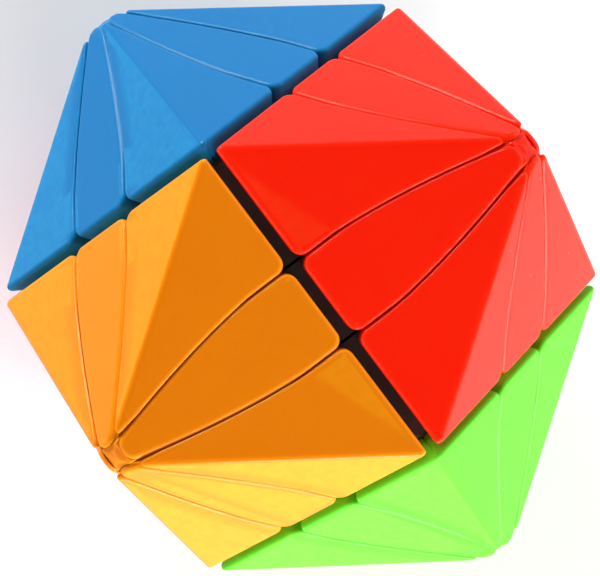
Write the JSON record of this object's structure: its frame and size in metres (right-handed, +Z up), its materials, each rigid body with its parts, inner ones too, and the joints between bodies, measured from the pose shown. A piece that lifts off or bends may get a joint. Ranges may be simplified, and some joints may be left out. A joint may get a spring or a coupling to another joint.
{
  "type": "rhombic dodecahedron twisty puzzle",
  "caption": "Turning puzzle shaped as a rhombic dodecahedron, cut into layers like a cube puzzle, with petal-shaped glossy plastic tiles meeting at each apex.",
  "frame": {"origin": "centre of the rhombic face that the puzzle rests on", "axes": "+Z up through the centre of the puzzle, +X towards the blue apex, green apex on -X, red and yellow apexes above, pink and white apexes below"},
  "size_m": [0.0778, 0.0566, 0.0566],
  "materials": {
    "yellow_plastic": "moulded, glossy",
    "red_plastic": "moulded, glossy",
    "blue_plastic": "moulded, glossy",
    "green_plastic": "moulded, glossy",
    "white_plastic": "moulded, glossy",
    "pink_plastic": "moulded, glossy",
    "black_plastic": "moulded, satin",
    "steel": "plated",
    "spring_steel": "drawn wire"
  },
  "bodies": {
    "core_and_middle_slice": {"core": "black_plastic", "tension_screws": "steel", "tension_springs": "spring_steel", "washers": "steel", "centre_body_white": "black_plastic", "centre_cap_white": "white_plastic", "centre_body_yellow": "black_plastic", "centre_cap_yellow": "yellow_plastic", "centre_body_pink": "black_plastic", "centre_cap_pink": "pink_plastic", "centre_body_red": "black_plastic", "centre_cap_red": "red_plastic", "edge_body_pink_white": "black_plastic", "edge_body_red_white": "black_plastic", "edge_body_pink_yellow": "black_plastic", "edge_body_red_yellow": "black_plastic", "white_edge_tiles_middle": "white_plastic", "yellow_edge_tiles_middle": "yellow_plastic", "pink_edge_tiles_middle": "pink_plastic", "red_edge_tiles_middle": "red_plastic"},
    "blue_layer": {"centre_body_blue": "black_plastic", "centre_cap_blue": "blue_plastic", "edge_body_blue_pink": "black_plastic", "edge_body_blue_red": "black_plastic", "edge_body_blue_white": "black_plastic", "edge_body_blue_yellow": "black_plastic", "corner_body_blue_pink_white": "black_plastic", "corner_body_blue_red_white": "black_plastic", "corner_body_blue_pink_yellow": "black_plastic", "corner_body_blue_red_yellow": "black_plastic", "blue_corner_tiles": "blue_plastic", "blue_edge_tiles": "blue_plastic", "white_corner_tiles_blue_layer": "white_plastic", "white_edge_tile_blue_layer": "white_plastic", "yellow_corner_tiles_blue_layer": "yellow_plastic", "yellow_edge_tile_blue_layer": "yellow_plastic", "pink_corner_tiles_blue_layer": "pink_plastic", "pink_edge_tile_blue_layer": "pink_plastic", "red_corner_tiles_blue_layer": "red_plastic", "red_edge_tile_blue_layer": "red_plastic"},
    "green_layer": {"centre_body_green": "black_plastic", "centre_cap_green": "green_plastic", "edge_body_green_pink": "black_plastic", "edge_body_green_red": "black_plastic", "edge_body_green_white": "black_plastic", "edge_body_green_yellow": "black_plastic", "corner_body_green_pink_white": "black_plastic", "corner_body_green_red_white": "black_plastic", "corner_body_green_pink_yellow": "black_plastic", "corner_body_green_red_yellow": "black_plastic", "green_corner_tiles": "green_plastic", "green_edge_tiles": "green_plastic", "white_corner_tiles_green_layer": "white_plastic", "white_edge_tile_green_layer": "white_plastic", "yellow_corner_tiles_green_layer": "yellow_plastic", "yellow_edge_tile_green_layer": "yellow_plastic", "pink_corner_tiles_green_layer": "pink_plastic", "pink_edge_tile_green_layer": "pink_plastic", "red_corner_tiles_green_layer": "red_plastic", "red_edge_tile_green_layer": "red_plastic"}
  },
  "joints": [
    {"name": "blue_layer_turn", "type": "hinge", "parent": "core_and_middle_slice", "child": "blue_layer", "pos_m": [0, 0, 0.02828], "axis": [1, 0, 0], "continuous": true},
    {"name": "green_layer_turn", "type": "hinge", "parent": "core_and_middle_slice", "child": "green_layer", "pos_m": [0, 0, 0.02828], "axis": [-1, 0, 0], "continuous": true}
  ]
}
